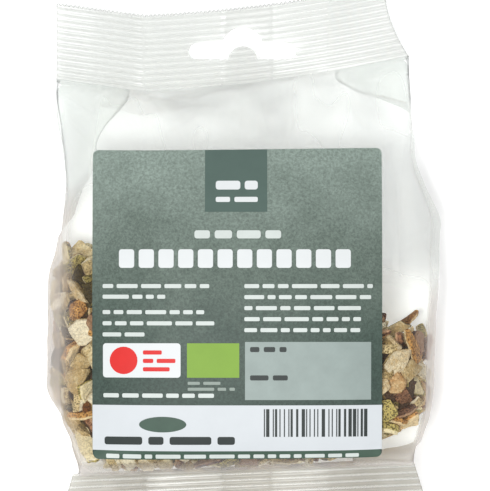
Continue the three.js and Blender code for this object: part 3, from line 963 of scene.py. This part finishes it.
def inside_film(points):
    """How deep each point lies under the film's plain form, and the way out of the nearest side."""
    x, y, z = points[..., 0], points[..., 1], points[..., 2]
    front, back = np.interp(y, *FRONT_BY_Y), np.interp(y, *BACK_BY_Y)
    tall = front - back
    left, right = along(CREASE_LEFT, y), along(CREASE_RIGHT, y)
    t = np.clip(2 * (x - left) / (right - left) - 1, -1, 1)
    front_drop, back_rise = along(FRONT_CROWN, y) * tall, along(BACK_CROWN, y) * tall
    share = np.clip((front - front_drop - z) / (tall - front_drop - back_rise), 0, 1)
    off = np.abs(2 * share - 1)

    def bulge(table):
        reach = along(table, y)
        return reach * np.where(reach > 0, 1 - off**2, 1 - off)

    gaps = np.stack([
        front - front_drop * np.abs(t) ** FRONT_CURVE - z,
        z - back - back_rise * past_flat(t) ** BACK_CURVE,
        x - left + bulge(GUSSET_LEFT),
        right + bulge(GUSSET_RIGHT) - x,
        y - np.maximum(np.interp(z, *END_BY_Z) + bottom_skew(x), empty_corner(x)),
    ], -1)
    return gaps.min(-1), OUTWARDS[gaps.argmin(-1)]


def well_apart(points):
    """Which points to keep, taken in turn, so that no two lie nearer than CHIP_SPACING."""
    kept = []
    for i, point in enumerate(points):
        if not kept or np.square(points[kept] - point).sum(1).min() >= CHIP_SPACING**2:
            kept.append(i)
    return kept


def chip_spots(rng):
    """Places for the chips: spread through the layer under the film and on the heap's top."""
    tries = np.array([[rng.uniform(*span) for span in TRY_BOX] for _ in range(CHIP_TRIES)])
    depth, way_out = inside_film(tries)
    x, y, z = tries.T
    below_top = heap_top(x, z) - y
    hidden = (x > LABEL_LEFT + LABEL_COVER_X) & (x < LABEL_RIGHT - LABEL_COVER_X)
    hidden &= (y > LABEL_BOTTOM + LABEL_COVER_Y) & (z > HIDDEN_FROM) & (below_top > SHELL)
    near = np.minimum(depth, below_top)
    wanted = np.flatnonzero((depth > LEAST_DEPTH) & (below_top > 1) & (near < SHELL) & ~hidden)
    way_out[below_top < depth] = HEAP_SLOPE
    wanted = wanted[well_apart(tries[wanted])]
    return [(tries[i], Vector(way_out[i]).normalized(), float(near[i])) for i in wanted]


def chip_turn(normal, depth, rng):
    """A chip's attitude: near the film it lies flat against it, deeper down it lies anyhow."""
    lean = LEAN + LEAN_BY_DEPTH * depth
    tilt = Matrix.Rotation(rng.gauss(0, lean), 3, "X") @ Matrix.Rotation(rng.gauss(0, lean), 3, "Y")
    spin = Matrix.Rotation(rng.uniform(0, 2 * pi), 3, "Z")
    flip = Matrix.Rotation(pi if rng.random() < PITH_UP else 0.0, 3, "X")
    facing = normal.to_track_quat("Z", "Y").to_matrix()
    return np.array(facing @ tilt @ spin @ flip)


def pushes(balls, owner):
    """How each sphere should move: back inside the film, and clear of other chips' spheres."""
    tree = kdtree.KDTree(len(balls))
    for i, ball in enumerate(balls):
        tree.insert(ball, i)
    tree.balance()
    depth, way_out = inside_film(balls)
    push = -way_out * np.clip(SPHERE + FILM_ROOM - depth, 0, 2)[:, None]
    for i, ball in enumerate(balls):
        for other, j, distance in tree.find_range(ball, 2 * SPHERE):
            if j > i and owner[i] != owner[j]:
                step = (ball - np.array(other)) * (0.5 * (2 * SPHERE / max(distance, 1e-6) - 1))
                push[i] += step
                push[j] -= step
    return push


def settle(centres, turns, sizes):
    """Pushes the chips apart and back inside the film, each chip held as two rows of spheres."""
    unit = np.array([(i, j, 0) for j in (-0.25, 0.25) for i in (-0.4, 0.0, 0.4)])
    local = unit[None] * sizes[:, None, :]
    owner = np.repeat(np.arange(len(centres)), len(unit))
    for _ in range(RELAX_STEPS):
        arms = np.einsum("nij,nkj->nki", turns, local)
        balls = (centres[:, None] + arms).reshape(-1, 3)
        push = pushes(balls, owner).reshape(arms.shape)
        centres = centres + RELAX_SHARE * push.mean(1)
        swing = np.cross(arms, push).sum(1) / (np.square(arms).sum((1, 2)) + 1.0)[:, None]
        for i, turn in enumerate(swing):
            angle = min(float(np.linalg.norm(turn)), MOST_TURN)
            if angle > 1e-4:
                turns[i] = np.array(Matrix.Rotation(angle, 3, Vector(turn))) @ turns[i]
    return centres, turns


def pressed_flat(points):
    """Chips' points that would reach past the film, pressed back under it."""
    for _ in range(3):
        depth, way_out = inside_film(points)
        short = np.maximum(0, FILM_ROOM - 0.2 - depth)
        points = points - way_out * short[:, None]
    return points


def chip_outline(rng):
    """A knife-cut outline of four to six corners, inside a square of side 1, slightly rounded."""
    corners = rng.choice((4, 4, 5, 5, 6))
    start = rng.uniform(0, 2 * pi)
    turns = [start + 2 * pi * (i + rng.uniform(-0.28, 0.28)) / corners for i in range(corners)]
    points = np.array([np.array((cos(a), sin(a))) * rng.uniform(0.42, 0.58) for a in turns])
    s = np.arange(OUTLINE_STEPS) * corners / OUTLINE_STEPS
    i = s.astype(int)
    outline = points[i] + (points[(i + 1) % corners] - points[i]) * (s - i)[:, None]
    return 0.88 * outline + 0.06 * (np.roll(outline, 1, 0) + np.roll(outline, -1, 0))


# Each ring's width and height; the rind side is the wider, so its rim shows from both sides.
CHIP_RINGS = (
    (0.4, 1), (0.78, 1), (0.95, 0.98), (1, 0.8), (1.02, 0.2),
    (0.95, -0.8), (0.89, -1), (0.68, -1), (0.35, -1),
)
RIND_RINGS = 5  # how many of them, from the first, carry the rind


def chip_points(size, rng):
    """One chip's points about its own middle, and how much of each is rind."""
    outline = chip_outline(rng) * size[:2]
    thick = size[2] / 2
    rings = []
    for wide, high in CHIP_RINGS:
        rings.append(np.column_stack([outline * wide, np.full(OUTLINE_STEPS, thick * high)]))
    points = np.concatenate([np.array([(0, 0, thick)]), *rings, np.array([(0, 0, -thick)])])
    rind = (np.arange(len(points)) <= RIND_RINGS * OUTLINE_STEPS).astype(float)
    x, y = points[:, 0].copy(), points[:, 1].copy()
    curl = rng.uniform(-0.035, 0.02), rng.uniform(-0.06, 0.03), rng.uniform(-0.02, 0.02)
    points[:, 2] += curl[0] * x * x + curl[1] * y * y + curl[2] * x * y
    seed = rng.uniform(0, 500)
    at = [Vector((*p[:2], p[2] + seed)) * 0.42 for p in points.tolist()]
    points[:, 2] += 0.3 * np.array([noise.fractal(v, 0.7, 2.2, 3) for v in at])
    ragged = [noise.noise(Vector((px * 0.5, seed, py * 0.5))) for px, py, _ in points.tolist()]
    points[:, :2] *= 1 + 0.1 * np.array(ragged)[:, None]
    return points, rind


def chip_faces(first):
    """Faces over a chip's rings, its points starting at first."""
    shape = len(CHIP_RINGS), OUTLINE_STEPS
    here = first + 1 + np.arange(prod(shape)).reshape(shape)
    after = np.roll(here, -1, axis=1)
    last = int(here[-1, -1]) + 1
    quads = np.stack([here[:-1], here[1:], after[1:], after[:-1]], -1).reshape(-1, 4).tolist()
    upper = [(first, a, b) for a, b in zip(here[0].tolist(), after[0].tolist())]
    lower = [(last, b, a) for a, b in zip(here[-1].tolist(), after[-1].tolist())]
    return [*upper, *quads, *lower]


def peel_material(name, rind_dark, rind_light, pith_dark, pith_light):
    """Dried peel: pitted rind on one side, fibrous pith on the other and on the cut edges."""
    n = Nodes(name)
    tone = n.times(n.plus(n.attribute("tone"), -0.5), 0.55)
    patchy = n.times(n.plus(n.noise(2.2, 3, 0.6), -0.5), 0.7)
    pits = n.plus(n.pits(0.56), patchy)
    mottled = n.plus(n.noise(2.6, 5, 0.7), tone)
    rind = n.ramp(mottled, (0.32, rgb(*rind_dark)), (0.66, rgb(*rind_light)))
    pitted = n.times(n.ramp(pits, (0.28, 1.0), (0.58, 0.0)), 0.85)
    rind = n.mix(pitted, rind, tuple(0.6 * c for c in rgb(*rind_dark)))
    fibre = n.noise(0.9, 5, 0.72, 0.8)
    soft = n.plus(n.times(fibre, 0.45), n.times(mottled, 0.55))
    pith = n.ramp(soft, (0.34, rgb(*pith_dark)), (0.56, rgb(*pith_light)))
    stain = n.ramp(n.noise(5.5, 3, 0.6), (0.6, 0.0), (0.78, 0.6))
    pith = n.mix(stain, pith, rgb(*rind_dark))
    ragged = n.plus(n.attribute("rind"), n.times(n.plus(fibre, -0.5), 0.6))
    side = n.ramp(ragged, (0.42, 0.0), (0.58, 1.0))
    fleck = n.ramp(n.noise(0.8, 5, 0.75), (0.36, 0.7), (0.58, 1.06))
    colour = n.mix(1.0, n.mix(side, pith, rind), fleck, "MULTIPLY")
    normal = n.bump(n.ramp(pits, (0.0, 0.0), (0.6, 1.0)), 0.3, 0.8)
    normal = n.bump(fibre, 0.3, 0.8, normal)
    return n.finish(n.surface(colour, 0.66, 0.35, normal))


def add_chips(name, chips, material):
    """Joins one kind's chips, each (points, rind, tone), into a single piece."""
    points, rind, tone = zip(*chips)
    size = len(rind[0])
    faces = [face for i in range(len(chips)) for face in chip_faces(i * size)]
    piece = new_object(name, to_frame(pressed_flat(np.concatenate(points))), faces, material)
    piece.data.set_sharp_from_angle(angle=radians(38))
    set_attribute(piece, "rind", np.concatenate(rind))
    set_attribute(piece, "tone", np.repeat(tone, size))
    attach(piece, "root")
    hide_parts("bag")


def chip_size(rng):
    """Length, width and thickness: most are chips, some slivers, some broad flat pieces."""
    kind = rng.random()
    ranges = next(ranges for limit, *ranges in CHIP_SIZES if kind < limit)
    return [rng.uniform(low, high) for low, high in ranges]


def make_chips():
    """All chips, one piece for each kind."""
    rng = random.Random(8)
    spots = chip_spots(rng)
    sizes = np.array([chip_size(rng) for _ in spots])
    centres = np.array([place for place, _, _ in spots])
    turns = np.array([chip_turn(way_out, depth, rng) for _, way_out, depth in spots])
    centres, turns = settle(centres, turns, sizes)
    shares = [kind[1] for kind in CHIP_KINDS]
    chips = [[] for _ in CHIP_KINDS]
    for centre, turn, size in zip(centres, turns, sizes):
        points, rind = chip_points(size, rng)
        kind = rng.choices(range(len(CHIP_KINDS)), shares)[0]
        chips[kind].append((points @ turn.T + centre, rind, rng.random()))
    for (name, _, *colours), made in zip(CHIP_KINDS, chips):
        add_chips("peel_" + name, made, peel_material("dried_peel_" + name, *colours))


def make_core():
    """The heap's lumpy middle, which only shows between the chips, coloured dark as painted shade in
    the gaps.
    """
    panel, place = ring_columns(60, 16)
    rows = body_rings(np.linspace(0.12, 0.62, 60), panel, place)
    middle = rows.mean(1, keepdims=True)
    off = rows - middle
    half = np.abs(off).max(1, keepdims=True)
    flat = (middle + off * (1 - CORE_INSET / np.maximum(half, 1.0))).reshape(-1, 3)
    flat[:, 1] = np.minimum(flat[:, 1], heap_top(flat[:, 0], flat[:, 2]) - CORE_INSET)
    flat[:, 1] = np.maximum(flat[:, 1], empty_corner(flat[:, 0]) + CORE_INSET + 1)
    lumps = CORE_LUMPS * fbm(flat, 4.5, 3, 31.0)
    flat = flat + lumps[:, None] * (0.6, 0.5, 0.7)
    index = np.arange(len(flat)).reshape(rows.shape[:2])
    faces = [*grid_quads(index), index[0][::-1].tolist(), index[-1].tolist()]
    material = peel_material("dried_peel_core", *CORE_PAINTED_SHADE_COLOURS)
    piece = new_object("peel_core", to_frame(flat), faces, material)
    set_attribute(piece, "rind", np.full(len(flat), 0.4))
    set_attribute(piece, "tone", np.full(len(flat), 0.5))
    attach(piece, "root")
    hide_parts("bag")


# ---- The stage ----

VIEW_WIDTH = 147.0  # millimetres across the picture
CAMERA_HEIGHT = 4.0
SENSOR = 36
SKY = 0.58
KEY_PLACE, KEY_AIM = (-0.13, -0.1, 1.15), (0, 0, 0.02)
KEY_SIZE = 0.22
KEY_POWER = 8.5
FLOOR_GLOW = 0.34


def make_floor():
    n = Nodes("pale_floor")
    tone = n.ramp(n.noise(60, 3), (0.3, rgb(250, 250, 250)), (0.7, rgb(252, 252, 252)))
    glow = {"Emission Color": (1, 1, 1, 1), "Emission Strength": FLOOR_GLOW}
    shader = n.add("BsdfPrincipled", inputs={"Base Color": tone, "Roughness": 0.7, **glow}).outputs[0]
    bpy.ops.mesh.primitive_plane_add(size=4)
    floor = bpy.context.object
    floor.name = "floor"
    floor.data.materials.append(n.finish(shader))


def make_lights():
    """A pale even sky and one soft key light."""
    world = bpy.data.worlds.new("studio")
    world.use_nodes = True
    background = world.node_tree.nodes["Background"].inputs
    background["Color"].default_value = (0.97, 0.98, 1.0, 1)
    background["Strength"].default_value = SKY
    bpy.context.scene.world = world
    data = bpy.data.lights.new("key", "AREA")
    data.size = KEY_SIZE
    data.energy = KEY_POWER
    light = put_in_scene("key", data)
    light.location = KEY_PLACE
    light.rotation_euler = (Vector(KEY_AIM) - Vector(KEY_PLACE)).to_track_quat("-Z", "Y").to_euler()
    bpy.context.scene.view_settings.view_transform = "Standard"


def make_camera():
    """A far camera straight above."""
    data = bpy.data.cameras.new("camera")
    data.sensor_width = SENSOR
    data.lens = SENSOR * (CAMERA_HEIGHT - TOP_SEAL_Z * MM) / (VIEW_WIDTH * MM)
    data.clip_end = 20
    camera = put_in_scene("camera", data)
    camera.location = (0.0, 0.0013, CAMERA_HEIGHT)
    bpy.context.scene.camera = camera


make_camera()
make_lights()
make_floor()
make_label()
make_core()
make_chips()
make_film()

bpy.context.view_layer.update()
